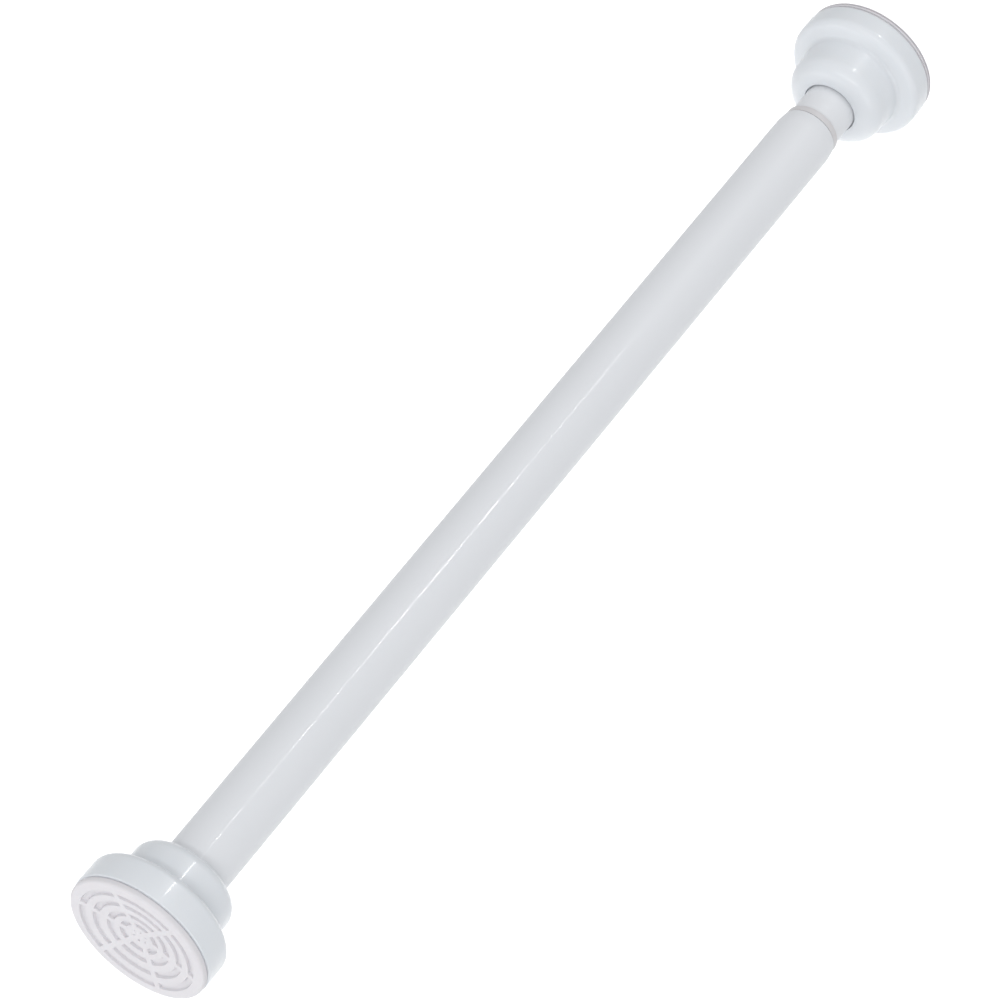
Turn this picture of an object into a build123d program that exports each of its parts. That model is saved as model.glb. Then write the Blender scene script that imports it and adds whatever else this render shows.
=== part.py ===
from build123d import *
import os
from math import acos, ceil, cos, pi, radians, sin, tan

# Extendable curtain rod, held between two walls by a spring.
# Sizes are in millimetres. The rod lies along X with +Z up. The origin is the centre of the wall
# face of the pad on the outer tube's end, and +X runs along the rod to the other wall.

# Whole rod
overall_length = 442.0
spring_travel = 11.5

# Tubes
outer_tube_diameter = 22.0
outer_tube_wall = 0.6
inner_tube_diameter = 19.0
inner_tube_wall = 0.6
tube_overlap_when_drawn_out = 75.0

# Rolled end of the outer tube
rolled_end_length = 4.0
rolled_end_drop = 0.5
rolled_end_sweep = 25.0
rolled_lip_wall = 0.5
tube_edge_round = 0.2

# End caps, two mouldings on one pattern: the outer tube's cap has the deeper step and squarer edges
cap_diameter = 50.0
cap_depth = 28.0
cap_neck_diameter = 36.0
cap_crease_round = 2.0
outer_cap_step_depth = 14.0
outer_cap_shoulder_round = 3.2
outer_cap_neck_round = 4.8
inner_cap_step_depth = 12.4
inner_cap_shoulder_round = 5.4
inner_cap_neck_round = 6.4
cap_rim_round = 0.6
cap_wall = 2.0
cap_hub_wall = 2.0
cap_floor = 2.0
cap_rib_count = 8
cap_rib_width = 1.6
mouth_recess_width = 0.5
mouth_recess_depth = 1.5

# Wall pads
pad_inset = 0.3
pad_proud = 2.5
pad_seat_depth = 3.0
pad_edge_round = 1.0
pad_groove_radii = (19.9, 15.2, 10.3, 6.0)
pad_groove_width = 2.0
pad_groove_depth = 1.35
pad_ring_drop = 0.45
pad_bridge_width = 3.0
pad_bridge_count = 6
pad_bridge_start = 48.0

# Guide bush in the rolled end
bush_length = 27.5
bush_nose = 2.9
bush_nose_radius = 10.3
bush_nose_round = 0.5
bush_slit = 1.2

# Expanding grip, which holds the inner tube where it is set
grip_length = 24.5
grip_diameter = 20.2
grip_hub_length = 7.5
grip_mouth_radius = 8.4
grip_angle = 8.0
grip_slot_count = 4
grip_slot_width = 2.2
friction_ring_height = 1.6
friction_ring_width = 2.2
friction_groove_width = 2.8

# Free room between the cap's floor and the stem's tip with the rod closed
stem_tip_room = 15.4

# Cone nut that opens the grip as the stem is turned
thread_lead = 1.25
lock_turns = 2.0
cone_flange_radius = 9.4
cone_flange = 2.5
cone_length = 19.0
cone_spread_clearance = 0.3
cone_fin_width = 1.6
cone_fin_radius = 9.6

# Stem
stem_thread_radius = 3.0
stem_shaft_radius = 4.0
stem_tip_chamfer = 0.5
stem_head_radius = 8.3
stem_head_thickness = 2.5
spring_spigot_radius = 5.8
spring_spigot_length = 6.0
clip_thickness = 0.7
clip_radius = 4.8
clip_groove_depth = 0.5
collar_thickness = 1.5
collar_radius = 6.5

# Spring
spring_length = 53.0
spring_wire = 1.4
spring_mean_radius = 6.9
spring_coils = 6
spring_cords_per_turn = 12

# Guide in the inner tube's inner end, and the seat that the spring pushes on
guide_flange = 6.0
guide_length = 14.5
seat_length = 10.0
bead_depth = 0.5
bead_width = 3.0

# Rounded corners and wires are made of short straight runs that leave the true curve by this much
curve_sag = 0.3

# Fits
press_clearance = 0.05
running_clearance = 0.1
end_clearance = 0.3

# Places along the rod
outer_tube_radius = outer_tube_diameter / 2
outer_bore = outer_tube_radius - outer_tube_wall
inner_tube_radius = inner_tube_diameter / 2
inner_bore = inner_tube_radius - inner_tube_wall
cap_radius = cap_diameter / 2
cap_neck_radius = cap_neck_diameter / 2
pad_radius = cap_radius - pad_inset
pad_back = pad_proud + pad_seat_depth
hub_seat = pad_back + cap_floor
tube_start = hub_seat
cone_travel = thread_lead * lock_turns

inner_tube_end = overall_length - tube_start
bush_face = overall_length - cap_depth - spring_travel - end_clearance * 2
outer_tube_end = bush_face - bush_nose

stem_tip = tube_start + stem_tip_room
clip_face = stem_tip + stem_tip_chamfer + clip_thickness
cone_face = clip_face + clip_thickness + end_clearance
cone_tip = cone_face + cone_length
grip_hub_front = cone_tip + cone_travel + end_clearance * 2
grip_back = grip_hub_front + grip_hub_length
grip_front = grip_back - grip_length
collar_face = grip_back + running_clearance
collar_back = grip_back + collar_thickness
guide_face = collar_back + spring_travel + end_clearance
inner_tube_start = guide_face + guide_flange
guide_back = inner_tube_start + guide_length
stem_head_face = guide_back + running_clearance
spring_start = stem_head_face + stem_head_thickness
spring_end = spring_start + spring_length
bead_centre = spring_end + seat_length / 2
extension_travel = outer_tube_end - inner_tube_start - tube_overlap_when_drawn_out


def rounded(before, corner, after, radius):
    """The points of short runs that round a corner of an outline."""
    corner = Vector(*corner)
    entry = (Vector(*before) - corner).normalized()
    leave = (Vector(*after) - corner).normalized()
    opening = radians(entry.get_angle(leave))
    turn = pi - opening
    runs = ceil(turn / (2 * acos(1 - curve_sag / max(radius, curve_sag))))
    start = entry * (radius * tan(turn / 2))
    middle = (entry + leave).normalized() * (radius / sin(opening / 2))
    across = (start - middle).normalized()
    along = entry * -1
    points = []
    for index in range(runs + 1):
        angle = turn * index / runs
        points.append(corner + middle + across * (radius * cos(angle)) + along * (radius * sin(angle)))
    return points


def turned(*corners):
    """A solid turned about X from corners (x, radius) or (x, radius, rounding)."""
    points = []
    for index, corner in enumerate(corners):
        if len(corner) == 2:
            points.append(Vector(*corner))
        else:
            before = corners[index - 1][:2]
            after = corners[(index + 1) % len(corners)][:2]
            points += rounded(before, corner[:2], after, corner[2])
    outline = Polyline(*[(point.X, 0, point.Y) for point in points], close=True)
    return revolve(make_face(outline.edges()), axis=Axis.X)


def bar(start, end, width, height):
    """A bar along X, centred on the axis."""
    middle = Pos((start + end) / 2, 0, 0)
    return middle * Box(end - start, width, height)


def spoke(start, end, width, reach, angle):
    """A bar along X that stands out from the axis on one side, turned by an angle."""
    place = Rot(angle, 0, 0) * Pos((start + end) / 2, 0, reach / 2)
    return place * Box(end - start, width, reach)


def at_far_wall(piece):
    """The same piece facing the other wall."""
    return Pos(overall_length, 0, 0) * piece.mirror(Plane.YZ)


def end_cap(bore_radius, step_depth, shoulder_round, neck_round):
    """A hollow two-step cap with a hub for the tube and ribs between hub and shell."""
    rim = cap_radius - cap_wall
    neck_inside = cap_neck_radius - cap_wall
    hub_radius = bore_radius + cap_hub_wall
    roof = cap_depth - cap_wall
    roof_radius = max(neck_inside - neck_round + cap_wall, hub_radius + press_clearance)
    shell = turned(
        (pad_proud, 0),
        (pad_proud, cap_radius, cap_rim_round),
        (step_depth, cap_radius, shoulder_round),
        (step_depth, cap_neck_radius, cap_crease_round),
        (cap_depth, cap_neck_radius, neck_round),
        (cap_depth, 0),
    )
    hollow = turned(
        (pad_proud - cap_wall, hub_radius),
        (pad_proud - cap_wall, rim),
        (step_depth - shoulder_round, rim),
        (step_depth - cap_wall, rim - shoulder_round + cap_wall),
        (step_depth - cap_wall, neck_inside),
        (cap_depth - neck_round, neck_inside),
        (roof, roof_radius),
        (roof, hub_radius),
    )
    for index in range(cap_rib_count):
        turn = 360 / cap_rib_count * (index + 0.5)
        hollow -= spoke(pad_back, cap_depth, cap_rib_width, cap_radius, turn)
    recess = turned((0, 0), (0, rim), (pad_back, rim), (pad_back, 0))
    socket = turned(
        (hub_seat, 0),
        (hub_seat, bore_radius),
        (cap_depth - mouth_recess_depth, bore_radius),
        (cap_depth - mouth_recess_depth, bore_radius + mouth_recess_width),
        (cap_depth + cap_wall, bore_radius + mouth_recess_width),
        (cap_depth + cap_wall, 0),
    )
    return shell - hollow - recess - socket


def pad_relief():
    """The stepped dish in a pad's face, and the rings of grooves in it, broken by bridges."""
    steps = [(0, 0)]
    grooves = Part()
    level = 0
    for radius in pad_groove_radii:
        inner = radius - pad_groove_width / 2
        outer = radius + pad_groove_width / 2
        floor = level + pad_groove_depth
        grooves += turned((0, inner), (0, outer), (floor, outer), (floor, inner))
        steps.append((level, inner))
        level += pad_ring_drop
        steps.append((level, inner))
    steps.append((level, 0))
    for index in range(pad_bridge_count // 2):
        bridge = bar(-pad_back, pad_back, pad_bridge_width, pad_radius * 2)
        grooves -= Rot(pad_bridge_start + index * 360 / pad_bridge_count, 0, 0) * bridge
    return turned(*steps) + grooves


def wall_pad():
    """A soft pad with a spigot that seats in the cap and a relief that grips the wall."""
    spigot_radius = cap_radius - cap_wall - press_clearance
    body = turned(
        (0, 0),
        (0, pad_radius, pad_edge_round),
        (pad_proud, pad_radius),
        (pad_proud, spigot_radius),
        (pad_back, spigot_radius),
        (pad_back, 0),
    )
    return body - pad_relief()


def outer_tube():
    """The outer tube, with its open end rolled in a little to hold the guide bush."""
    lip = outer_tube_radius - rolled_end_drop
    roll = outer_tube_end - rolled_end_length
    return turned(
        (tube_start, outer_bore),
        (tube_start, outer_tube_radius),
        (roll, outer_tube_radius, rolled_end_sweep),
        (outer_tube_end, lip, tube_edge_round),
        (outer_tube_end, lip - rolled_lip_wall),
        (roll, outer_bore),
    )


def guide_bush():
    """A slit plastic bush in the rolled end, which the inner tube slides in."""
    body = outer_bore - press_clearance
    lip = outer_tube_radius - rolled_end_drop - rolled_lip_wall - press_clearance
    roll = outer_tube_end - rolled_end_length
    inside = inner_tube_radius + running_clearance
    sleeve = turned(
        (bush_face - bush_length, inside),
        (bush_face - bush_length, body),
        (roll, body),
        (outer_tube_end, lip),
        (outer_tube_end, bush_nose_radius),
        (bush_face, bush_nose_radius, bush_nose_round),
        (bush_face, inside),
    )
    slit = Pos(0, 0, -outer_bore) * bar(
        bush_face - bush_length - 1, roll, bush_slit, outer_bore
    )
    return sleeve - slit


def inner_tube():
    """The inner tube, with a rolled bead that locks the spring's seat."""
    side = bead_width / 2
    return turned(
        (inner_tube_start, inner_bore),
        (inner_tube_start, inner_tube_radius),
        (bead_centre - side, inner_tube_radius),
        (bead_centre, inner_tube_radius - bead_depth),
        (bead_centre + side, inner_tube_radius),
        (inner_tube_end, inner_tube_radius),
        (inner_tube_end, inner_bore),
        (bead_centre + side, inner_bore),
        (bead_centre, inner_bore - bead_depth),
        (bead_centre - side, inner_bore),
    )


def stem_guide():
    """A plug in the inner tube's end that guides the stem, with a head that glides in the outer tube."""
    bore = stem_shaft_radius + running_clearance
    head = outer_bore - running_clearance
    spigot = inner_bore - press_clearance
    return turned(
        (guide_face, bore),
        (guide_face, head),
        (inner_tube_start, head),
        (inner_tube_start, spigot),
        (guide_back, spigot),
        (guide_back, bore),
    )


def spring_seat():
    """The plug that takes the spring's push, with a groove for the tube's bead."""
    spigot = inner_bore - press_clearance
    side = bead_width / 2
    return turned(
        (spring_end - spring_spigot_length, 0),
        (spring_end - spring_spigot_length, spring_spigot_radius),
        (spring_end, spring_spigot_radius),
        (spring_end, spigot),
        (bead_centre - side, spigot),
        (bead_centre, spigot - bead_depth),
        (bead_centre + side, spigot),
        (spring_end + seat_length, spigot),
        (spring_end + seat_length, 0),
    )


def grip_sleeve():
    """A sleeve split into fingers that a cone spreads against the outer tube's bore."""
    outside = grip_diameter / 2
    inside = grip_mouth_radius
    finger_length = grip_hub_front - grip_front
    root = inside - finger_length * tan(radians(grip_angle))
    groove_floor = outer_bore - friction_ring_height - press_clearance * 2
    groove_middle = (grip_hub_front + grip_back) / 2
    groove_start = groove_middle - friction_groove_width / 2
    groove_end = groove_middle + friction_groove_width / 2
    bore = stem_thread_radius + running_clearance
    sleeve = turned(
        (grip_front, inside),
        (grip_front, outside),
        (groove_start, outside),
        (groove_start, groove_floor),
        (groove_end, groove_floor),
        (groove_end, outside),
        (grip_back, outside),
        (grip_back, bore),
        (grip_hub_front, bore),
        (grip_hub_front, root),
    )
    for index in range(grip_slot_count // 2):
        slot = bar(grip_front - 1, grip_hub_front, grip_slot_width, cap_diameter)
        sleeve -= Rot(index * 360 / grip_slot_count, 0, 0) * slot
    return sleeve


def friction_ring():
    """A rubber ring that drags on the bore, so that the grip doesn't turn with the stem."""
    middle = (grip_hub_front + grip_back) / 2
    start = middle - friction_ring_width / 2
    end = middle + friction_ring_width / 2
    outside = outer_bore - press_clearance
    inside = outside - friction_ring_height
    return turned((start, inside), (start, outside), (end, outside), (end, inside))


def cone_nut():
    """A nut with a cone, which the stem's thread draws into the grip, and fins that key it."""
    slope = tan(radians(grip_angle))
    rest_clearance = cone_spread_clearance + cone_travel * slope

    def cone_radius(x):
        return grip_mouth_radius - (x - grip_front) * slope - rest_clearance

    bore = stem_thread_radius + press_clearance
    neck = cone_face + cone_flange
    nut = turned(
        (cone_face, bore),
        (cone_face, cone_flange_radius),
        (neck, cone_flange_radius),
        (neck, cone_radius(neck)),
        (cone_tip, cone_radius(cone_tip)),
        (cone_tip, bore),
    )
    hollow = turned((cone_face, 0), (cone_face, bore), (cone_tip, bore), (cone_tip, 0))
    fins = Part()
    for index in range(grip_slot_count):
        turn = index * 360 / grip_slot_count
        fins += spoke(neck, cone_tip - 1, cone_fin_width, cone_fin_radius, turn)
    return nut + (fins - hollow)


def lock_stem():
    """The stem: thread for the cone nut, shaft through the guide and head for the spring."""
    groove = stem_thread_radius - clip_groove_depth
    return turned(
        (stem_tip, 0),
        (stem_tip, stem_thread_radius - stem_tip_chamfer),
        (stem_tip + stem_tip_chamfer, stem_thread_radius),
        (clip_face, stem_thread_radius),
        (clip_face, groove),
        (clip_face + clip_thickness, groove),
        (clip_face + clip_thickness, stem_thread_radius),
        (collar_face, stem_thread_radius),
        (collar_face, collar_radius),
        (collar_back, collar_radius),
        (collar_back, stem_shaft_radius),
        (stem_head_face, stem_shaft_radius),
        (stem_head_face, stem_head_radius),
        (spring_start, stem_head_radius),
        (spring_start, spring_spigot_radius),
        (spring_start + spring_spigot_length, spring_spigot_radius),
        (spring_start + spring_spigot_length, 0),
    )


def stem_clip():
    """An open clip in the stem's groove, which keeps the cone nut on the thread."""
    groove = stem_thread_radius - clip_groove_depth
    end = clip_face + clip_thickness
    ring = turned(
        (clip_face, groove), (clip_face, clip_radius), (end, clip_radius), (end, groove)
    )
    mouth = Pos(0, 0, clip_radius) * bar(clip_face - 1, end + 1, groove * 1.6, clip_radius * 2)
    return ring - mouth


def tension_spring():
    """A compression spring between the stem's head and the seat, wound in short straight runs."""
    wire = spring_wire / 2
    start = spring_start + wire + press_clearance
    rise = spring_length - spring_wire - press_clearance * 2
    runs = spring_coils * spring_cords_per_turn
    points = []
    for index in range(runs + 1):
        angle = 2 * pi * index / spring_cords_per_turn
        across = (spring_mean_radius * cos(angle), spring_mean_radius * sin(angle))
        points.append((start + rise * index / runs, *across))
    path = Polyline(*points)
    section = Plane(origin=path @ 0, z_dir=path % 0) * RegularPolygon(wire, 6)
    return sweep(section, path=path, transition=Transition.RIGHT)


pieces = {
    "outer_tube": outer_tube(),
    "outer_end_cap": end_cap(
        outer_tube_radius + press_clearance,
        outer_cap_step_depth,
        outer_cap_shoulder_round,
        outer_cap_neck_round,
    ),
    "outer_wall_pad": wall_pad(),
    "guide_bush": guide_bush(),
    "grip_sleeve": grip_sleeve(),
    "friction_ring": friction_ring(),
    "cone_nut": cone_nut(),
    "lock_stem": lock_stem(),
    "stem_clip": stem_clip(),
    "tension_spring": tension_spring(),
    "inner_tube": inner_tube(),
    "stem_guide": stem_guide(),
    "spring_seat": spring_seat(),
    "inner_end_cap": at_far_wall(end_cap(
        inner_tube_radius + press_clearance,
        inner_cap_step_depth,
        inner_cap_shoulder_round,
        inner_cap_neck_round,
    )),
    "inner_wall_pad": at_far_wall(wall_pad()),
}

os.makedirs("parts", exist_ok=True)
for name, piece in pieces.items():
    export_step(piece, f"parts/{name}.step")
print("outer tube ends at", outer_tube_end, "bush face at", bush_face)
print("stem tip at", stem_tip, "inner tube from", inner_tube_start, "spring from", spring_start)
print("the rod draws out by", extension_travel)
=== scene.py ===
import logging
import math
from dataclasses import dataclass, field
from enum import Enum

import bmesh
import bpy
import numpy as np
from mathutils import Matrix, Vector


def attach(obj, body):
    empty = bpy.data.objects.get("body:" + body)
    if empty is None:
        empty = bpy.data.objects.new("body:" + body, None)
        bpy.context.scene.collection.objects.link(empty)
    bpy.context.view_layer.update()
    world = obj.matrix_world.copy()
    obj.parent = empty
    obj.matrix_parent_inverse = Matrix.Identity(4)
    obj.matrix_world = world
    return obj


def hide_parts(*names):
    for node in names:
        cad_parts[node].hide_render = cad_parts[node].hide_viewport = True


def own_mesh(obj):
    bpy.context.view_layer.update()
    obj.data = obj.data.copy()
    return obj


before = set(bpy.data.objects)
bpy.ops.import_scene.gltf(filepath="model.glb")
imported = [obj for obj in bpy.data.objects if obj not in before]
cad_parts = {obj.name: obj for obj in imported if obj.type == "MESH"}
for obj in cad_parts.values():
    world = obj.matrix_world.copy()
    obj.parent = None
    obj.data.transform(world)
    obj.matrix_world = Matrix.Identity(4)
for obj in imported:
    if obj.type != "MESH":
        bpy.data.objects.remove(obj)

# Sizes are in millimetres along the rod (X) and across it, and become metres as a mesh is made.
MM = 0.001

log = logging.getLogger("curtain_rod")

# The rod's shared sizes, as in the part's source
OVERALL_LENGTH = 442.0
TUBE_START = 7.5
OUTER_TUBE_END = 399.0

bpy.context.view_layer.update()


class Wall(Enum):
    """The two walls that the rod is held between."""

    NEAR = "outer"
    FAR = "inner"

    def place(self) -> Matrix:
        """Returns the matrix that puts a piece drawn for the near wall at this wall."""
        if self is Wall.NEAR:
            return Matrix.Identity(4)
        return Matrix.Translation((OVERALL_LENGTH * MM, 0, 0)) @ Matrix.Scale(-1, 4, (1, 0, 0))


class Surface(Enum):
    """The kinds of bump that a finish can have."""

    ORANGE_PEEL = "orange peel"
    FINE_GRAIN = "fine grain"
    DRAWN = "drawn"


# Finishes

# The part of a noise's range that most of it lies in
NOISE_MIDDLE = (0.3, 0.7)
# How far light goes in soft plastic, in metres, for red, green and blue
SOFT_DEPTH = (0.004, 0.003, 0.0025)
# How much a drawn wire's grain is stretched along it
DRAWN_STRETCH = (0.02, 1, 1)


class Wiring:
    """A material's node tree as it is wired up."""

    def __init__(self, tree: bpy.types.NodeTree) -> None:
        """Starts on an empty tree.

        Args:
            tree: the node tree to fill.
        """
        self.tree = tree
        self.tree.nodes.clear()

    def add(self, kind: str, **values: object) -> bpy.types.Node:
        """Adds a node.

        Args:
            kind: the node's type name.
            values: values for its input sockets, by name with _ for a space.

        Returns:
            The new node.
        """
        node = self.tree.nodes.new(kind)
        for name, value in values.items():
            node.inputs[name.replace("_", " ")].default_value = value
        return node

    def join(self, source: bpy.types.NodeSocket, target: bpy.types.NodeSocket) -> None:
        """Links one socket to another."""
        self.tree.links.new(source, target)

    def noise(self, coords: bpy.types.NodeSocket, size: float, detail: float) -> bpy.types.NodeSocket:
        """Adds noise on given coordinates.

        Args:
            coords: the coordinates in metres.
            size: the size of its patches in millimetres.
            detail: how many finer layers it has.

        Returns:
            The socket with values from 0 to 1.
        """
        node = self.add("ShaderNodeTexNoise", Scale=1 / (size * MM), Detail=detail, Roughness=0.55)
        self.join(coords, node.inputs["Vector"])
        return node.outputs["Fac"]

    def ramp(self, value: bpy.types.NodeSocket, low: float, high: float) -> bpy.types.NodeSocket:
        """Maps the middle of a noise to a range.

        Args:
            value: the noise.
            low: the result for its darker patches.
            high: the result for its lighter patches.

        Returns:
            The mapped socket.
        """
        start, end = NOISE_MIDDLE
        node = self.add("ShaderNodeMapRange", From_Min=start, From_Max=end, To_Min=low, To_Max=high)
        self.join(value, node.inputs["Value"])
        return node.outputs["Result"]


@dataclass(frozen=True)
class Finish:
    """A finish with clouds of colour, uneven gloss and a fine bump."""

    name: str
    colour: tuple[float, float, float]
    shade: tuple[float, float, float]
    roughness: tuple[float, float]
    surface: Surface
    cloud_size: float = 24.0
    bump_size: float = 1.2
    bump_height: float = 0.01
    metallic: float = 0.0
    coat: float = 0.0
    coat_roughness: float = 0.08
    ior: float = 1.5
    subsurface: float = 0.0

    def material(self) -> bpy.types.Material:
        """Returns the finish as a material, made once and shared."""
        made = bpy.data.materials.get(self.name)
        if made is None:
            made = bpy.data.materials.new(self.name)
            made.use_nodes = True
            self._wire(Wiring(made.node_tree))
            made.diffuse_color = (*self.colour, 1)
        return made

    def _wire(self, wiring: Wiring) -> None:
        """Wires the shader.

        Args:
            wiring: the empty tree.
        """
        coords = wiring.add("ShaderNodeTexCoord").outputs["Object"]
        shader = wiring.add(
            "ShaderNodeBsdfPrincipled", Metallic=self.metallic, IOR=self.ior, Coat_Weight=self.coat,
            Coat_Roughness=self.coat_roughness, Subsurface_Weight=self.subsurface,
            Subsurface_Radius=SOFT_DEPTH, Subsurface_Scale=1.0,
        )
        colour = wiring.add("ShaderNodeMix")
        colour.data_type = "RGBA"
        colour.inputs[6].default_value = (*self.colour, 1)
        colour.inputs[7].default_value = (*self.shade, 1)
        clouds = wiring.noise(coords, self.cloud_size, detail=4)
        wiring.join(wiring.ramp(clouds, 0, 1), colour.inputs[0])
        wiring.join(colour.outputs[2], shader.inputs["Base Color"])
        gloss = wiring.noise(coords, self.cloud_size / 3, detail=1)
        wiring.join(wiring.ramp(gloss, *self.roughness), shader.inputs["Roughness"])
        bump = wiring.add("ShaderNodeBump", Strength=1.0, Distance=self.bump_height * MM)
        wiring.join(self._relief(wiring, coords), bump.inputs["Height"])
        wiring.join(bump.outputs["Normal"], shader.inputs["Normal"])
        output = wiring.add("ShaderNodeOutputMaterial")
        wiring.join(shader.outputs["BSDF"], output.inputs["Surface"])

    def _relief(self, wiring: Wiring, coords: bpy.types.NodeSocket) -> bpy.types.NodeSocket:
        """Makes the height of the finish's bump.

        Args:
            wiring: the tree.
            coords: the piece's coordinates.

        Returns:
            The height from 0 to 1.
        """
        if self.surface is Surface.DRAWN:
            mapping = wiring.add("ShaderNodeMapping", Scale=DRAWN_STRETCH)
            wiring.join(coords, mapping.inputs["Vector"])
            return wiring.noise(mapping.outputs["Vector"], self.bump_size, detail=3)
        detail = 1.0 if self.surface is Surface.ORANGE_PEEL else 5.0
        return wiring.noise(coords, self.bump_size, detail)


ENAMEL = Finish(
    "white_enamel", (0.735, 0.750, 0.776), (0.722, 0.738, 0.764), (0.46, 0.52), Surface.ORANGE_PEEL,
    cloud_size=60, bump_size=1.6, bump_height=0.0012, coat=0.17, coat_roughness=0.04,
)
CAP_GLOSS = Finish(
    "cap_moulding", (0.718, 0.745, 0.776), (0.704, 0.732, 0.764), (0.34, 0.40), Surface.ORANGE_PEEL,
    cloud_size=18, bump_size=2.4, bump_height=0.0016, coat=0.34, coat_roughness=0.09, subsurface=0.04,
)
PAD_RUBBER = Finish(
    "pad_rubber", (0.690, 0.677, 0.702), (0.668, 0.655, 0.680), (0.50, 0.64), Surface.FINE_GRAIN,
    cloud_size=9, bump_size=0.35, bump_height=0.02, subsurface=0.06,
)
BUSH_PLASTIC = Finish(
    "bush_plastic", (0.640, 0.628, 0.640), (0.600, 0.588, 0.600), (0.34, 0.46), Surface.FINE_GRAIN,
    cloud_size=6, bump_size=0.4, bump_height=0.01, subsurface=0.05,
)
NYLON = Finish(
    "natural_nylon", (0.74, 0.72, 0.64), (0.70, 0.68, 0.60), (0.34, 0.48), Surface.FINE_GRAIN,
    cloud_size=8, bump_size=0.5, bump_height=0.012, subsurface=0.15,
)
SPRING_STEEL = Finish(
    "spring_steel", (0.56, 0.57, 0.58), (0.48, 0.49, 0.50), (0.22, 0.36), Surface.DRAWN,
    cloud_size=5, bump_size=0.15, bump_height=0.01, metallic=1.0,
)
RING_RUBBER = Finish(
    "ring_rubber", (0.022, 0.022, 0.023), (0.035, 0.035, 0.036), (0.55, 0.70), Surface.FINE_GRAIN,
    cloud_size=4, bump_size=0.3, bump_height=0.015,
)


# Meshes


def tidy_mesh(mesh: bpy.types.Mesh, crease: float = 34.0) -> bpy.types.Mesh:
    """Merges doubles, turns the faces outward and sets smooth shading with sharp edges.

    Args:
        mesh: the mesh, changed in place.
        crease: the angle in degrees from which an edge is sharp.

    Returns:
        The same mesh.
    """
    shape = bmesh.new()
    shape.from_mesh(mesh)
    bmesh.ops.remove_doubles(shape, verts=shape.verts, dist=1e-6)
    bmesh.ops.dissolve_degenerate(shape, edges=shape.edges, dist=1e-7)
    bmesh.ops.recalc_face_normals(shape, faces=shape.faces)
    shape.to_mesh(mesh)
    shape.free()
    mesh.shade_smooth()
    mesh.set_sharp_from_angle(angle=math.radians(crease))
    return mesh


def show(name: str, mesh: bpy.types.Mesh, finish: Finish) -> bpy.types.Object:
    """Puts a mesh in the scene with its finish.

    Args:
        name: the piece's name.
        mesh: its mesh, in place.
        finish: its finish.

    Returns:
        The new object, at the origin.
    """
    mesh.materials.clear()
    mesh.materials.append(finish.material())
    piece = bpy.data.objects.new(name, mesh)
    bpy.context.scene.collection.objects.link(piece)
    return piece


def settle(piece: bpy.types.Object, body: str, slot: str, *nodes: str) -> None:
    """Lets a piece ride on its body in place of its CAD nodes.

    Args:
        piece: the finished piece.
        body: the body that it moves with.
        slot: not used.
        nodes: the CAD nodes that it stands for.
    """
    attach(piece, body)
    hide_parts(*nodes)
    faces = len(piece.data.polygons)
    log.info("%s stands for %s on %s with %d faces", piece.name, ", ".join(nodes), body, faces)


@dataclass
class Turning:
    """A piece turned about the rod's axis from a closed outline."""

    corners: tuple[tuple[float, ...], ...]
    around: int = 160
    arc_step: float = 9.0

    def outline(self) -> list[tuple[float, float]]:
        """Returns the outline's points (x, radius), with its rounded corners as arcs."""
        points: list[tuple[float, float]] = []
        for index, corner in enumerate(self.corners):
            here = Vector(corner[:2])
            if len(corner) == 2:
                points.append(tuple(here))
                continue
            before = Vector(self.corners[index - 1][:2])
            after = Vector(self.corners[(index + 1) % len(self.corners)][:2])
            points += self._arc(before, here, after, corner[2])
        return points

    def _arc(self, before: Vector, here: Vector, after: Vector, radius: float) -> list[tuple[float, float]]:
        """Rounds one corner.

        Args:
            before: the corner before it.
            here: the corner.
            after: the corner after it.
            radius: the rounding.

        Returns:
            The arc's points.
        """
        entry = (before - here).normalized()
        leave = (after - here).normalized()
        opening = entry.angle(leave)
        turn = math.pi - opening
        middle = here + (entry + leave).normalized() * (radius / math.sin(opening / 2))
        start = here + entry * (radius * math.tan(turn / 2)) - middle
        side = (-entry) * radius
        steps = max(2, math.ceil(math.degrees(turn) / self.arc_step))
        angles = [turn * step / steps for step in range(steps + 1)]
        return [tuple(middle + start * math.cos(a) + side * math.sin(a)) for a in angles]

    def mesh(self, name: str, opening: float = 0.0) -> bpy.types.Mesh:
        """Turns the outline.

        Args:
            name: the mesh's name.
            opening: the degrees left out of the turn, centred below the axis.

        Returns:
            The mesh, in metres.
        """
        outline = self.outline()
        rows = len(outline)
        columns = self.around + 1 if opening else self.around
        steps = np.arange(columns) / self.around
        angles = np.radians(270 + opening / 2 + steps * (360 - opening))
        rings = []
        for x, radius in outline:
            rings.append(np.stack([np.full(columns, x), radius * np.cos(angles), radius * np.sin(angles)], 1))
        places = np.concatenate(rings) * MM
        faces = []
        for row in range(rows):
            upper = row * columns
            lower = (row + 1) % rows * columns
            if outline[row][1] == 0 and outline[(row + 1) % rows][1] == 0:
                continue
            for column in range(self.around):
                beside = (column + 1) % columns
                faces.append((upper + column, upper + beside, lower + beside, lower + column))
        if opening:
            faces.append(tuple(row * columns for row in range(rows)))
            faces.append(tuple(row * columns + columns - 1 for row in reversed(range(rows))))
        mesh = bpy.data.meshes.new(name)
        mesh.from_pydata(places.tolist(), [], faces)
        return tidy_mesh(mesh)


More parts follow.
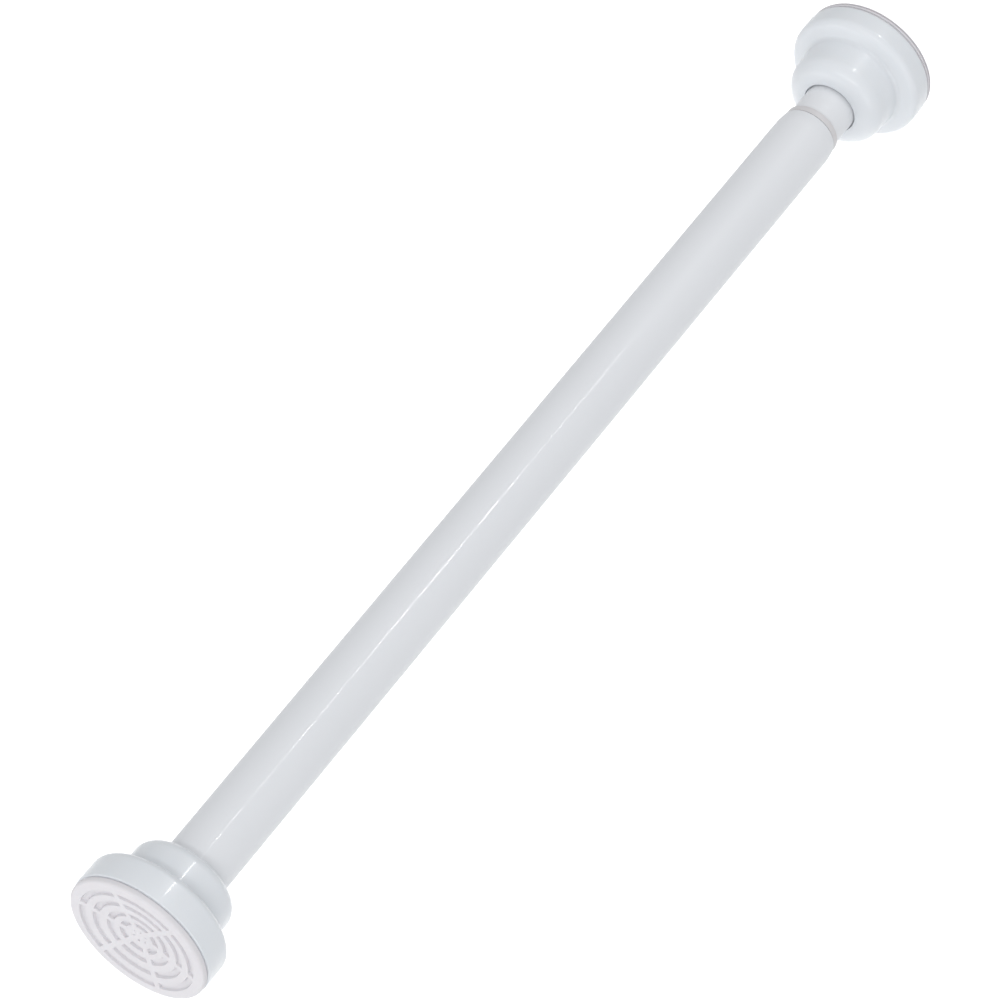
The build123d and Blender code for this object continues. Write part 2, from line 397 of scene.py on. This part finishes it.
class Nodes:
    """A geometry node tree with named inputs, run on one mesh and made plain."""

    def __init__(self, name: str, sizes: dict[str, float | int]) -> None:
        """Makes the tree with a geometry input and one input for each size.

        Args:
            name: the tree's name.
            sizes: the named inputs and their values; whole numbers make integer inputs.
        """
        self.tree = bpy.data.node_groups.new(name, "GeometryNodeTree")
        self.sizes = sizes
        face = self.tree.interface
        face.new_socket("Geometry", in_out="INPUT", socket_type="NodeSocketGeometry")
        for size, value in sizes.items():
            kind = "NodeSocketInt" if isinstance(value, int) else "NodeSocketFloat"
            face.new_socket(size, in_out="INPUT", socket_type=kind)
        face.new_socket("Geometry", in_out="OUTPUT", socket_type="NodeSocketGeometry")
        self.given = self.tree.nodes.new("NodeGroupInput")
        self.result = self.tree.nodes.new("NodeGroupOutput")

    def add(self, kind: str, **values: object) -> bpy.types.Node:
        """Adds a node.

        Args:
            kind: the node's type name.
            values: values for its input sockets, by name with _ for a space.

        Returns:
            The new node.
        """
        node = self.tree.nodes.new(kind)
        for name, value in values.items():
            node.inputs[name.replace("_", " ")].default_value = value
        return node

    def math(self, operation: str, first: object, second: object) -> bpy.types.NodeSocket:
        """Adds a sum or product.

        Args:
            operation: the math node's operation.
            first: a socket or number.
            second: a socket or number.

        Returns:
            The result's socket.
        """
        node = self.tree.nodes.new("ShaderNodeMath")
        node.operation = operation
        for target, value in zip(node.inputs, (first, second)):
            if isinstance(value, bpy.types.NodeSocket):
                self.tree.links.new(value, target)
            else:
                target.default_value = value
        return node.outputs[0]

    def join(self, source: bpy.types.NodeSocket, target: bpy.types.NodeSocket) -> None:
        """Links one socket to another."""
        self.tree.links.new(source, target)

    def close(self, geometry: bpy.types.NodeSocket, finish: Finish) -> None:
        """Ends the tree in Realize Instances and Set Material.

        Args:
            geometry: the geometry to end with.
            finish: the finish to set.
        """
        realize = self.add("GeometryNodeRealizeInstances")
        paint = self.add("GeometryNodeSetMaterial", Material=finish.material())
        self.join(geometry, realize.inputs["Geometry"])
        self.join(realize.outputs[0], paint.inputs["Geometry"])
        self.join(paint.outputs[0], self.result.inputs["Geometry"])

    def run(self, name: str, seed_mesh: bpy.types.Mesh) -> bpy.types.Mesh:
        """Runs the tree and returns a plain mesh.

        Args:
            name: the new mesh's name.
            seed_mesh: the mesh that the tree starts from.

        Returns:
            The result as a plain mesh.
        """
        holder = bpy.data.objects.new(name + "_maker", seed_mesh)
        bpy.context.scene.collection.objects.link(holder)
        modifier = holder.modifiers.new("build", "NODES")
        modifier.node_group = self.tree
        for item in self.tree.interface.items_tree:
            if item.in_out == "INPUT" and item.name in self.sizes:
                modifier[item.identifier] = self.sizes[item.name]
        graph = bpy.context.evaluated_depsgraph_get()
        made = bpy.data.meshes.new_from_object(holder.evaluated_get(graph), depsgraph=graph)
        made.name = name
        holder.modifiers.remove(modifier)
        bpy.data.objects.remove(holder)
        return made


def round_the_axis(name: str, one: bpy.types.Mesh, count: int, finish: Finish) -> bpy.types.Mesh:
    """Repeats a mesh evenly round the rod's axis with geometry nodes.

    Args:
        name: the result's name.
        one: the mesh to repeat.
        count: how many there are.
        finish: the finish to set.

    Returns:
        The repeated mesh as one plain mesh, its seams not yet merged.
    """
    nodes = Nodes(name + "_round", {"Count": count})
    line = nodes.add("GeometryNodeMeshLine", Offset=(0, 0, 0))
    nodes.join(nodes.given.outputs["Count"], line.inputs["Count"])
    index = nodes.add("GeometryNodeInputIndex")
    part = nodes.math("DIVIDE", index.outputs[0], nodes.given.outputs["Count"])
    turn = nodes.math("MULTIPLY", part, 2 * math.pi)
    turns = nodes.add("ShaderNodeCombineXYZ")
    nodes.join(turn, turns.inputs["X"])
    copies = nodes.add("GeometryNodeInstanceOnPoints")
    nodes.join(line.outputs["Mesh"], copies.inputs["Points"])
    nodes.join(nodes.given.outputs["Geometry"], copies.inputs["Instance"])
    nodes.join(turns.outputs[0], copies.inputs["Rotation"])
    nodes.close(copies.outputs["Instances"], finish)
    return nodes.run(name, one)


# The rod's pieces


def smooth_step(share: np.ndarray) -> np.ndarray:
    """Returns a share from 0 to 1, eased at both ends."""
    return share * share * (3 - 2 * share)


@dataclass
class WallPad:
    """A soft pad: a dished face with rings of arc grooves, parted by six bridges."""

    wall: Wall
    radius: float = 24.7
    proud: float = 2.5
    back: float = 5.5
    spigot: float = 22.95
    edge_round: float = 1.0
    seams: tuple[tuple[float, float], ...] = ((1.95, 2.5),)
    seam_depth: float = 0.5
    rim_inner: float = 20.9
    rim_run: float = 0.6
    dish_from: float = 22.0
    dish_slope: float = 0.1
    rings: tuple[tuple[float, float], ...] = ((19.9, 2.3), (15.2, 2.3), (10.3, 2.3), (6.0, 2.2), (2.1, 1.4))
    groove_depth: float = 0.95
    wall_run: float = 0.25
    corner: float = 0.3
    bridge_width: float = 1.8
    bridges: int = 6
    first_bridge: float = 48.0
    row_step: float = 0.7
    last_row: float = 23.7
    edge_margin: float = 0.1
    edge_rows: int = 6
    rim_rows: int = 4
    round_rows: int = 8
    bridge_columns: tuple[float, ...] = (0, 0.4, 0.75, 0.9, 0.97, 1.04, 1.1, 1.16, 1.22, 1.3, 1.5)
    groove_columns: int = 12
    column_room: float = 1.05
    least_radius: float = 1e-3

    def land(self, radius: np.ndarray) -> np.ndarray:
        """Returns how deep the face lies between grooves at some radii."""
        dish = (self.dish_from - radius) * self.dish_slope
        return dish * smooth_step(np.clip((self.rim_inner - radius) / self.rim_run, 0, 1))

    def depth(self, radius: np.ndarray, off_bridge: np.ndarray) -> np.ndarray:
        """Works out the face's depth.

        Args:
            radius: distances from the axis.
            off_bridge: distances from the nearest bridge's middle line.

        Returns:
            The depths below the wall.
        """
        deep = np.zeros_like(radius)
        for ring, width in self.rings:
            across = np.abs(radius - ring) - width / 2 + self.corner
            along = self.bridge_width / 2 - off_bridge + self.corner
            outside = np.hypot(np.maximum(across, 0), np.maximum(along, 0))
            distance = outside + np.minimum(np.maximum(across, along), 0) - self.corner
            deep = np.maximum(deep, smooth_step(np.clip(-distance / self.wall_run, 0, 1)))
        return self.land(radius) + deep * self.groove_depth

    def _rows(self) -> tuple[list[float], list[tuple[float, float]]]:
        """Returns the radii of the face's rows, and (x, radius) of the side's and back's rows."""
        radii = set(np.arange(0, self.last_row, self.row_step).round(3))
        for ring, width in self.rings:
            for side in (-1, 1):
                edge = ring + side * width / 2
                margin = self.edge_margin
                for step in np.linspace(-margin, self.wall_run + margin, self.edge_rows):
                    radii.add(round(float(edge - side * step), 3))
        for step in np.linspace(0, self.rim_run, self.rim_rows):
            radii.add(round(self.rim_inner - float(step), 3))
        flat = self.radius - self.edge_round
        radii.add(round(flat, 3))
        side = []
        for step in range(1, self.round_rows + 1):
            turn = math.pi / 2 * step / self.round_rows
            x = self.edge_round * (1 - math.cos(turn))
            side.append((x, flat + self.edge_round * math.sin(turn)))
        low = self.radius - self.seam_depth
        for start, end in self.seams:
            side += [(start, self.radius), (start, low), (end, low)]
            if end < self.proud:
                side.append((end, self.radius))
        side += [(self.proud, self.spigot), (self.back, self.spigot), (self.back, 0)]
        return sorted(radii), side

    def _offsets(self, radius: float) -> np.ndarray:
        """Returns the angles in radians of a row's columns across one sector."""
        half = math.pi / self.bridges
        radius = max(radius, self.least_radius)
        steps = np.array(self.bridge_columns) * self.bridge_width / 2
        scale = min(1.0, radius * math.sin(half) / (steps[-1] * self.column_room))
        near = np.arcsin(np.clip(steps * scale / radius, 0, 1))
        far = np.linspace(near[-1], half, self.groove_columns + 1)[1:]
        first = np.concatenate([near, far])
        return np.concatenate([first, (2 * half - first[:-1])[::-1]])

    def sector(self) -> bpy.types.Mesh:
        """Returns the mesh of one sector, from one bridge's middle to the next."""
        radii, side = self._rows()
        half = math.pi / self.bridges
        start = math.radians(self.first_bridge)
        places = []
        for radius in radii:
            angles = self._offsets(radius)
            nearest = np.minimum(angles, 2 * half - angles)
            around = np.full_like(angles, radius)
            x = self.depth(around, around * np.sin(nearest))
            places.append(self._ring(x, around, angles + start))
        for x, radius in side:
            angles = self._offsets(max(radius, 1.0))
            places.append(self._ring(np.full_like(angles, x), np.full_like(angles, radius), angles + start))
        columns = len(places[0])
        faces = []
        for row in range(len(places) - 1):
            for column in range(columns - 1):
                corner = row * columns + column
                faces.append((corner, corner + 1, corner + columns + 1, corner + columns))
        mesh = bpy.data.meshes.new("pad_sector")
        mesh.from_pydata((np.concatenate(places) * MM).tolist(), [], faces)
        return mesh

    def _ring(self, x: np.ndarray, radius: np.ndarray, angle: np.ndarray) -> np.ndarray:
        """Returns the points of one row, with the angle going from -Y towards +Z."""
        return np.stack([x, -radius * np.cos(angle), radius * np.sin(angle)], 1)

    def build(self) -> None:
        """Builds the pad and puts it in the place of its CAD node."""
        node = self.wall.value + "_wall_pad"
        mesh = round_the_axis("ribbed_" + node, self.sector(), self.bridges, PAD_RUBBER)
        mesh.transform(self.wall.place())
        piece = show("ribbed_" + node, tidy_mesh(mesh, crease=60), PAD_RUBBER)
        settle(piece, self.wall.value, "soft_pad", node)


@dataclass
class EndCap:
    """A hollow two-step cap with a hub, ribs and a mouth for the tube."""

    wall: Wall
    bore: float
    step: float
    shoulder_round: float
    neck_round: float
    shoulder: tuple[tuple[float, ...], ...]
    front: float = 2.5
    depth: float = 28.0
    radius: float = 25.0
    neck: float = 18.0
    rim_round: float = 0.6
    thickness: float = 2.0
    pad_seat: float = 5.5
    socket: float = 7.5
    ribs: int = 8
    rib_width: float = 1.6
    mouth_gap: float = 0.5
    mouth_depth: float = 1.5
    overlap: float = 0.2
    least_step: float = 0.05
    round_slack: float = 0.01

    def shell(self) -> bpy.types.Mesh:
        """Returns the turned shell with its hub and socket."""
        rim = self.radius - self.thickness
        inside = self.neck - self.thickness
        hub = self.bore + self.thickness
        mouth = self.bore + self.mouth_gap
        roof = self.depth - self.thickness
        roof_radius = max(inside - self.neck_round + self.thickness, hub + self.least_step)
        corners = (
            (self.front, rim),
            (self.front, self.radius, self.rim_round),
            *self.shoulder,
            (self.depth, self.neck, self.neck_round - self.round_slack),
            (self.depth, mouth),
            (self.depth - self.mouth_depth, mouth),
            (self.depth - self.mouth_depth, self.bore),
            (self.socket, self.bore),
            (self.socket, 0),
            (self.pad_seat, 0),
            (self.pad_seat, hub),
            (roof, hub),
            (roof, roof_radius),
            (self.depth - self.neck_round, inside),
            (self.step - self.thickness, inside),
            (self.step - self.thickness, rim, self.shoulder_round - self.thickness),
        )
        return Turning(corners, arc_step=6).mesh("cap_shell")

    def rib(self) -> bpy.types.Mesh:
        """Returns one rib that joins the hub to the shell."""
        half = self.rib_width / 2
        inner = self.bore + self.thickness - self.overlap
        rim = self.radius - self.thickness + self.overlap
        neck = self.neck - self.thickness + self.overlap
        wall = self.step - self.thickness + self.overlap
        outline = (
            (self.pad_seat, inner),
            (self.pad_seat, rim),
            (self.step - self.shoulder_round, rim),
            (wall, self.radius - self.shoulder_round),
            (wall, neck),
            (self.depth - self.neck_round, neck),
            (self.depth - self.neck_round + neck - inner, inner),
        )
        count = len(outline)
        places = [(x * MM, side * half * MM, r * MM) for side in (-1, 1) for x, r in outline]
        faces = [tuple(range(count)), tuple(range(2 * count - 1, count - 1, -1))]
        for index in range(count):
            beside = (index + 1) % count
            faces.append((index, index + count, beside + count, beside))
        mesh = bpy.data.meshes.new("cap_rib")
        mesh.from_pydata(places, [], faces)
        mesh.transform(Matrix.Rotation(math.pi / self.ribs, 4, "X"))
        return mesh

    def build(self) -> None:
        """Builds the cap and puts it in the place of its CAD node."""
        node = self.wall.value + "_end_cap"
        ribs = round_the_axis("cap_ribs", self.rib(), self.ribs, CAP_GLOSS)
        shape = bmesh.new()
        shape.from_mesh(self.shell())
        shape.from_mesh(ribs)
        mesh = bpy.data.meshes.new("turned_" + node)
        shape.to_mesh(mesh)
        shape.free()
        mesh.transform(self.wall.place())
        piece = show("turned_" + node, tidy_mesh(mesh), CAP_GLOSS)
        settle(piece, self.wall.value, "white_cap", node)


@dataclass
class Tubes:
    """The two telescoping tubes, enamelled white."""

    outer_radius: float = 11.0
    inner_radius: float = 9.5
    thickness: float = 0.6
    rolled_length: float = 4.0
    rolled_drop: float = 0.5
    rolled_wall: float = 0.5
    rolled_sweep: float = 25.0
    edge_round: float = 0.2
    roll_arc_step: float = 1.5
    inner_start: float = 74.0
    bead_middle: float = 149.1
    bead_width: float = 3.0
    bead_depth: float = 0.5
    around: int = 192

    def outer(self) -> bpy.types.Mesh:
        """Returns the outer tube, rolled in a little at its open end."""
        bore = self.outer_radius - self.thickness
        lip = self.outer_radius - self.rolled_drop
        roll = OUTER_TUBE_END - self.rolled_length
        corners = (
            (TUBE_START, bore),
            (TUBE_START, self.outer_radius),
            (roll, self.outer_radius, self.rolled_sweep),
            (OUTER_TUBE_END, lip, self.edge_round),
            (OUTER_TUBE_END, lip - self.rolled_wall),
            (roll, bore),
        )
        return Turning(corners, self.around, self.roll_arc_step).mesh("painted_outer_tube")

    def inner(self) -> bpy.types.Mesh:
        """Returns the inner tube with the bead that locks the spring's seat."""
        bore = self.inner_radius - self.thickness
        end = OVERALL_LENGTH - TUBE_START
        bead = self.bead_width / 2
        corners = (
            (self.inner_start, bore),
            (self.inner_start, self.inner_radius),
            (self.bead_middle - bead, self.inner_radius),
            (self.bead_middle, self.inner_radius - self.bead_depth),
            (self.bead_middle + bead, self.inner_radius),
            (end, self.inner_radius),
            (end, bore),
            (self.bead_middle + bead, bore),
            (self.bead_middle, bore - self.bead_depth),
            (self.bead_middle - bead, bore),
        )
        return Turning(corners, self.around).mesh("painted_inner_tube")

    def build(self) -> None:
        """Builds both tubes in the place of their CAD nodes."""
        settle(show("painted_outer_tube", self.outer(), ENAMEL), "outer", "painted_tube", "outer_tube")
        settle(show("painted_inner_tube", self.inner(), ENAMEL), "inner", "painted_tube", "inner_tube")


@dataclass
class GuideBush:
    """The plastic bush that shows as a collar where the inner tube leaves the outer one."""

    face: float = 401.9
    length: float = 27.5
    body: float = 10.35
    inside: float = 9.6
    rolled_length: float = 4.0
    lip: float = 9.95
    nose: float = 10.3
    nose_round: float = 0.35
    seam_width: float = 0.35
    seam_round: float = 0.15
    mouth: float = 0.3
    slit: float = 1.2
    parting: float = 0.02

    def nose_part(self) -> bpy.types.Mesh:
        """Returns the whole ring at the tube's end, with a shadow line and a bevelled mouth."""
        roll = OUTER_TUBE_END - self.rolled_length
        seam = OUTER_TUBE_END + self.seam_width
        corners = (
            (roll, self.inside),
            (roll, self.body),
            (OUTER_TUBE_END, self.lip),
            (seam, self.lip),
            (seam, self.nose, self.seam_round),
            (self.face, self.nose, self.nose_round),
            (self.face, self.inside + self.mouth),
            (self.face - self.mouth * 2, self.inside),
        )
        return Turning(corners, around=192, arc_step=10).mesh("collar_nose")

    def slit_part(self) -> bpy.types.Mesh:
        """Returns the slit sleeve inside the tube."""
        start = self.face - self.length
        end = OUTER_TUBE_END - self.rolled_length - self.parting
        corners = ((start, self.inside), (start, self.body), (end, self.body), (end, self.inside))
        opening = math.degrees(2 * math.asin(self.slit / 2 / self.inside))
        return Turning(corners, around=144).mesh("collar_sleeve", opening)

    def build(self) -> None:
        """Builds the bush and puts it in the place of its CAD node."""
        shape = bmesh.new()
        shape.from_mesh(self.nose_part())
        shape.from_mesh(self.slit_part())
        mesh = bpy.data.meshes.new("slit_bush")
        shape.to_mesh(mesh)
        shape.free()
        settle(show("slit_bush", tidy_mesh(mesh), BUSH_PLASTIC), "outer", "grey_bush", "guide_bush")


@dataclass
class Lock:
    """The hidden lock: a coil spring wound here, and the CAD nodes with their finishes."""

    spring_start: float = 91.1
    spring_length: float = 53.0
    spring_radius: float = 6.9
    wire: float = 1.4
    clearance: float = 0.05
    coils: float = 6.0
    points_a_coil: int = 48
    points_round_the_wire: int = 14
    finishes: dict[str, Finish] = field(default_factory=lambda: {
        "grip_sleeve": NYLON, "friction_ring": RING_RUBBER,
        "cone_nut": NYLON, "lock_stem": NYLON, "stem_clip": SPRING_STEEL,
        "stem_guide": NYLON, "spring_seat": NYLON,
    })

    def coil(self) -> bpy.types.Mesh:
        """Returns the spring, a wire that follows a helix."""
        sizes = {
            "Turns": self.coils,
            "Radius": self.spring_radius * MM,
            "Rise": (self.spring_length - self.wire - self.clearance * 2) * MM,
            "Wire": self.wire / 2 * MM,
        }
        nodes = Nodes("coil_spring", sizes)
        spiral = nodes.add("GeometryNodeCurveSpiral", Resolution=self.points_a_coil)
        profile = nodes.add("GeometryNodeCurvePrimitiveCircle", Resolution=self.points_round_the_wire)
        sweep = nodes.add("GeometryNodeCurveToMesh", Fill_Caps=True)
        turn = nodes.add("GeometryNodeTransform", Rotation=(0, math.pi / 2, 0))
        given = nodes.given.outputs
        nodes.join(given["Turns"], spiral.inputs["Rotations"])
        nodes.join(given["Radius"], spiral.inputs["Start Radius"])
        nodes.join(given["Radius"], spiral.inputs["End Radius"])
        nodes.join(given["Rise"], spiral.inputs["Height"])
        nodes.join(given["Wire"], profile.inputs["Radius"])
        nodes.join(spiral.outputs["Curve"], sweep.inputs["Curve"])
        nodes.join(profile.outputs["Curve"], sweep.inputs["Profile Curve"])
        nodes.join(sweep.outputs["Mesh"], turn.inputs["Geometry"])
        nodes.close(turn.outputs["Geometry"], SPRING_STEEL)
        mesh = nodes.run("wound_spring", bpy.data.meshes.new("spring_start"))
        start = self.spring_start + self.wire / 2 + self.clearance
        mesh.transform(Matrix.Translation((start * MM, 0, 0)))
        return tidy_mesh(mesh, crease=50)

    def build(self) -> None:
        """Winds the spring and dresses the CAD nodes of the lock."""
        spring = show("wound_spring", self.coil(), SPRING_STEEL)
        settle(spring, "stem", "spring_steel", "tension_spring")
        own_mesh(spring)
        for node, finish in self.finishes.items():
            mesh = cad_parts[node].data
            mesh.materials.clear()
            mesh.materials.append(finish.material())
            log.info("%s is finished in %s", node, finish.name)


@dataclass(frozen=True)
class Lamp:
    """A rectangular soft light, with its sizes in metres."""

    name: str
    place: tuple[float, float, float]
    aim: tuple[float, float, float]
    size: tuple[float, float]
    power: float
    along: tuple[float, float, float]

    def hang(self) -> None:
        """Adds the light to the scene, with its width along the given direction."""
        light = bpy.data.lights.new(self.name, "AREA")
        light.shape = "RECTANGLE"
        light.size, light.size_y = self.size
        light.energy = self.power
        back = (Vector(self.place) - Vector(self.aim)).normalized()
        side = Vector(self.along)
        side = (side - back * side.dot(back)).normalized()
        turn = Matrix((side, back.cross(side), back)).transposed().to_4x4()
        holder = bpy.data.objects.new(self.name, light)
        holder.matrix_world = Matrix.Translation(Vector(self.place)) @ turn
        bpy.context.scene.collection.objects.link(holder)


LAMPS = (
    Lamp("strip", (1.03, -0.37, 1.5), (0.17, 0, 0), (0.54, 0.035), 3.4, (1, 0, 0)),
    Lamp("bright_strip", (1.1, -0.371, 1.49), (0.17, 0, 0), (0.16, 0.035), 0.8, (1, 0, 0)),
    Lamp("overhead", (1.1, 0.45, 1.5), (0.17, 0.1, 0), (1.5, 1.6), 1.0, (1, 0, 0)),
    Lamp("side_fill", (-1.3, -1.8, 0.1), (0.3, 0, 0), (1.2, 1.2), 5.5, (0, 0, 1)),
    Lamp("ring_light", (-1.15, -0.3, 1.4), (0.43, 0, 0), (1.7, 0.16), 6.5, (0, 1, 0)),
    Lamp("low_fill", (-2.0, 0.9, -0.1), (0.2, 0, 0), (2.4, 1.1), 12, (0, 1, 0)),
    Lamp("floor_wash", (0.69, 0.31, -0.3), (0.69, 0.31, -0.7), (1.3, 1.3), 5, (1, 0, 0)),
)


@dataclass
class Studio:
    """A pale floor, soft lights and the camera at the photograph's angle."""

    focal_length: float = 165.594
    camera_place: tuple[float, float, float] = (-593.0, -511.0, 1149.0)
    right: tuple[float, float, float] = (0.54071, -0.84121, 0.0)
    up: tuple[float, float, float] = (0.64925, 0.41732, 0.63585)
    back: tuple[float, float, float] = (-0.53489, -0.34381, 0.77181)
    floor_height: float = -700.0
    floor_size: float = 40000.0
    bright_side: tuple[float, float, float] = (-0.5, -0.3, 0.74)
    sky_colour: tuple[float, float, float, float] = (0.985, 0.99, 1.0, 1)
    sky_from: tuple[float, float] = (-0.6, 1.0)
    sky_range: tuple[float, float] = (0.405, 0.83)
    paper_colour: tuple[float, float, float, float] = (0.93, 0.93, 0.93, 1)
    paper_roughness: float = 0.9

    def camera(self) -> None:
        """Sets up the camera."""
        lens = bpy.data.cameras.new("camera")
        lens.lens = self.focal_length
        lens.sensor_width = 36
        lens.sensor_fit = "HORIZONTAL"
        lens.clip_start = 0.01
        lens.clip_end = 50
        camera = bpy.data.objects.new("camera", lens)
        turn = Matrix((self.right, self.up, self.back)).transposed().to_4x4()
        camera.matrix_world = Matrix.Translation(Vector(self.camera_place) * MM) @ turn
        bpy.context.scene.collection.objects.link(camera)
        bpy.context.scene.camera = camera

    def floor(self) -> None:
        """Lays the floor."""
        half = self.floor_size / 2 * MM
        height = self.floor_height * MM
        mesh = bpy.data.meshes.new("floor")
        places = [(x * half, y * half, height) for x, y in ((-1, -1), (1, -1), (1, 1), (-1, 1))]
        mesh.from_pydata(places, [], [(0, 1, 2, 3)])
        floor = bpy.data.objects.new("floor", mesh)
        paper = bpy.data.materials.new("studio_paper")
        paper.use_nodes = True
        shader = paper.node_tree.nodes["Principled BSDF"]
        shader.inputs["Base Color"].default_value = self.paper_colour
        shader.inputs["Roughness"].default_value = self.paper_roughness
        mesh.materials.append(paper)
        bpy.context.scene.collection.objects.link(floor)

    def lights(self) -> None:
        """Hangs the lights and sets the pale surroundings."""
        for lamp in LAMPS:
            lamp.hang()
        bpy.context.scene.world = self.surroundings()
        bpy.context.scene.view_settings.view_transform = "Standard"

    def surroundings(self) -> bpy.types.World:
        """Returns pale surroundings that are brighter behind the camera than beyond the rod."""
        world = bpy.data.worlds.new("studio")
        world.use_nodes = True
        background = world.node_tree.nodes["Background"]
        background.inputs["Color"].default_value = self.sky_colour
        tree = world.node_tree
        coords = tree.nodes.new("ShaderNodeTexCoord")
        facing = tree.nodes.new("ShaderNodeVectorMath")
        facing.operation = "DOT_PRODUCT"
        facing.inputs[1].default_value = Vector(self.bright_side).normalized()
        level = tree.nodes.new("ShaderNodeMapRange")
        level.inputs["From Min"].default_value, level.inputs["From Max"].default_value = self.sky_from
        level.inputs["To Min"].default_value, level.inputs["To Max"].default_value = self.sky_range
        tree.links.new(coords.outputs["Generated"], facing.inputs[0])
        tree.links.new(facing.outputs["Value"], level.inputs["Value"])
        tree.links.new(level.outputs["Result"], background.inputs["Strength"])
        return world

    def build(self) -> None:
        """Sets up the camera, the floor and the lights."""
        self.camera()
        self.floor()
        self.lights()
        log.info("studio ready, lens %.1f mm", self.focal_length)


def write_size() -> None:
    """Updates the view layer.
    """
    bpy.context.view_layer.update()


# The two caps' shoulders: the corners (x, radius, rounding) from the side to the neck
SQUARE_SHOULDER = ((14.0, 25.0, 3.2), (14.0, 18.0, 2.0))
ROLLED_SHOULDER = ((11.2, 25.0, 3.0), (12.9, 18.5, 2.0))
CAPS = (
    EndCap(Wall.NEAR, bore=11.05, step=14.0, shoulder_round=3.2, neck_round=4.8, shoulder=SQUARE_SHOULDER),
    EndCap(Wall.FAR, bore=9.55, step=12.4, shoulder_round=5.4, neck_round=6.4, shoulder=ROLLED_SHOULDER),
)
# The far pad has a second fine groove round its edge
PADS = (
    WallPad(Wall.NEAR),
    WallPad(Wall.FAR, edge_round=0.45, seams=((0.55, 1.15), (1.75, 2.5))),
)


def main() -> None:
    """Builds the dressed rod and its studio."""
    logging.basicConfig(level=logging.INFO, format="%(name)s: %(message)s")
    for piece in (Studio(), Tubes(), *CAPS, *PADS, GuideBush(), Lock()):
        piece.build()
    write_size()


if __name__ == "__main__":
    main()
